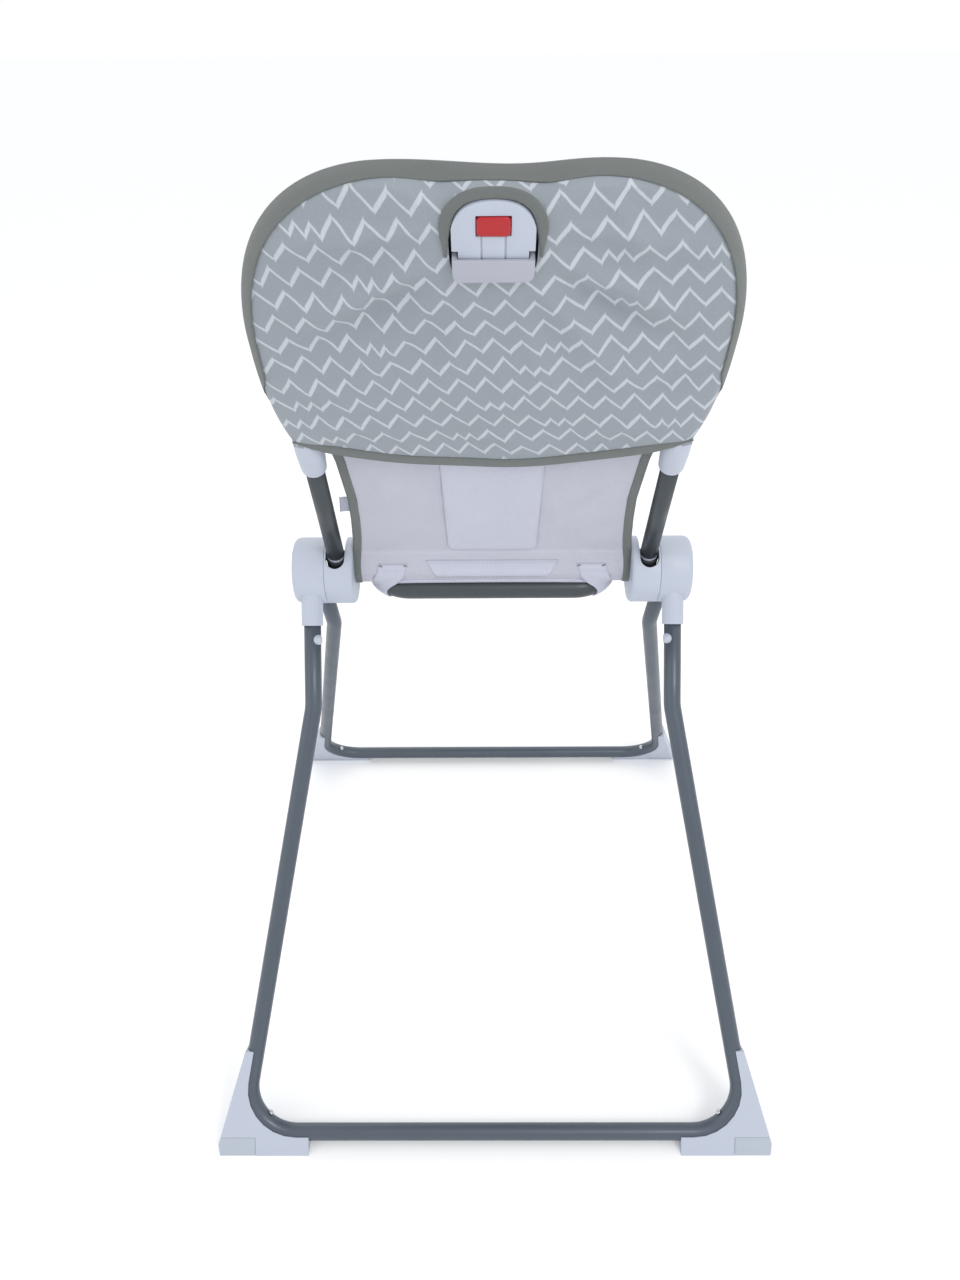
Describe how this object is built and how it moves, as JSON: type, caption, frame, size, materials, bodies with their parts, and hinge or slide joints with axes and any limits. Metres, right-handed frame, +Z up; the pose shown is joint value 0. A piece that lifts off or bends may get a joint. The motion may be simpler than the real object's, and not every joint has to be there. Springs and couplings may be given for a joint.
{
  "type": "folding raised baby seat",
  "caption": "Raised folding baby seat: reclining fabric seat between two side hubs on an A-frame of two U-shaped tubes with corner feet, squeeze release behind the back.",
  "frame": {"origin": "on the floor, midway between the two leg frames on the plane of symmetry", "axes": "+X to the seated child's left, +Y to the rear, +Z up; the child faces -Y"},
  "size_m": [0.6, 0.681, 0.967],
  "materials": {
    "leg_paint": "slate grey semi-gloss powder coat",
    "frame_paint": "dark grey semi-gloss powder coat",
    "dark_plastic": "dark grey moulded plastic",
    "white_plastic": "cool white moulded plastic with a fine satin grain",
    "foot_rubber": "pale grey soft rubber",
    "steel": "plated steel",
    "red_plastic": "red moulded plastic",
    "print_fabric": "grey woven fabric printed with pale zigzag lines, mid grey binding",
    "lining_fabric": "plain white woven lining",
    "webbing": "mid grey woven webbing"
  },
  "bodies": {
    "root": {"rear_leg_frame": "leg_paint", "rear_foot_left": "white_plastic", "rear_foot_right": "white_plastic", "rear_foot_pad_left": "foot_rubber", "rear_foot_pad_right": "foot_rubber", "rear_foot_screw_left": "steel", "rear_foot_screw_right": "steel", "leg_bumper_left": "white_plastic", "leg_bumper_right": "white_plastic", "hub_outer_left": "white_plastic", "hub_outer_right": "white_plastic", "hub_inner_left": "white_plastic", "hub_inner_right": "white_plastic", "hub_axle_left": "steel", "hub_axle_right": "steel"},
    "front_legs": {"front_leg_frame": "leg_paint", "front_foot_left": "white_plastic", "front_foot_right": "white_plastic", "front_foot_pad_left": "foot_rubber", "front_foot_pad_right": "foot_rubber", "front_foot_screw_left": "steel", "front_foot_screw_right": "steel", "front_leg_socket_left": "dark_plastic", "front_leg_socket_right": "dark_plastic"},
    "fold_button_l": {"fold_button_left": "white_plastic"},
    "fold_button_r": {"fold_button_right": "white_plastic"},
    "seat": {"seat_frame": "frame_paint", "seat_front_bar": "frame_paint", "seat_bracket_left": "dark_plastic", "seat_bracket_right": "dark_plastic", "seat_front_joint_left": "white_plastic", "seat_front_joint_right": "white_plastic", "waist_strap_left": "webbing", "waist_strap_right": "webbing", "seat_pad": "print_fabric", "crotch_strap": "webbing", "buckle_body": "white_plastic"},
    "buckle_button_body": {"buckle_button": "red_plastic"},
    "leg_rest": {"leg_rest_frame": "frame_paint", "leg_rest_pad": "print_fabric"},
    "backrest": {"back_hoop": "frame_paint", "back_knuckle_left": "dark_plastic", "back_knuckle_right": "dark_plastic", "back_tube_left": "frame_paint", "back_tube_right": "frame_paint", "hoop_sleeve_left": "white_plastic", "hoop_sleeve_right": "white_plastic", "shoulder_strap_left": "webbing", "shoulder_strap_right": "webbing", "back_hood": "print_fabric", "back_pad": "print_fabric", "back_lining": "lining_fabric", "back_board": "lining_fabric", "release_housing": "white_plastic"},
    "release_button_body": {"release_button": "red_plastic"},
    "release_lever_body": {"release_lever": "white_plastic"}
  },
  "joints": [
    {"name": "leg_fold", "type": "hinge", "parent": "root", "child": "front_legs", "pos_m": [0, 0, 0.5365], "axis": [1, 0, 0], "range_deg": [0, 60]},
    {"name": "seat_tip", "type": "hinge", "parent": "root", "child": "seat", "pos_m": [0, 0, 0.5365], "axis": [1, 0, 0], "range_deg": [0, 55]},
    {"name": "back_recline", "type": "hinge", "parent": "seat", "child": "backrest", "pos_m": [0, 0, 0.5365], "axis": [-1, 0, 0], "range_deg": [-50, 15]},
    {"name": "leg_rest_lift", "type": "hinge", "parent": "seat", "child": "leg_rest", "pos_m": [0, -0.29679, 0.54038], "axis": [-1, 0, 0], "range_deg": [0, 70]},
    {"name": "release_press", "type": "slide", "parent": "backrest", "child": "release_button_body", "axis": [0, -0.8846, 0.4664], "range_m": [0, 0.003], "stiffness_N_per_m": 400, "springref_m": -0.002},
    {"name": "release_squeeze", "type": "slide", "parent": "backrest", "child": "release_lever_body", "axis": [0, 0.4664, 0.8846], "range_m": [0, 0.004], "stiffness_N_per_m": 600, "springref_m": -0.002},
    {"name": "fold_press_left", "type": "slide", "parent": "root", "child": "fold_button_l", "axis": [-1, 0, 0], "range_m": [0, 0.004], "stiffness_N_per_m": 400, "springref_m": -0.002},
    {"name": "fold_press_right", "type": "slide", "parent": "root", "child": "fold_button_r", "axis": [1, 0, 0], "range_m": [0, 0.004], "stiffness_N_per_m": 400, "springref_m": -0.002},
    {"name": "buckle_press", "type": "slide", "parent": "seat", "child": "buckle_button_body", "axis": [0, -0.0872, -0.9962], "range_m": [0, 0.003], "stiffness_N_per_m": 400, "springref_m": -0.002}
  ]
}
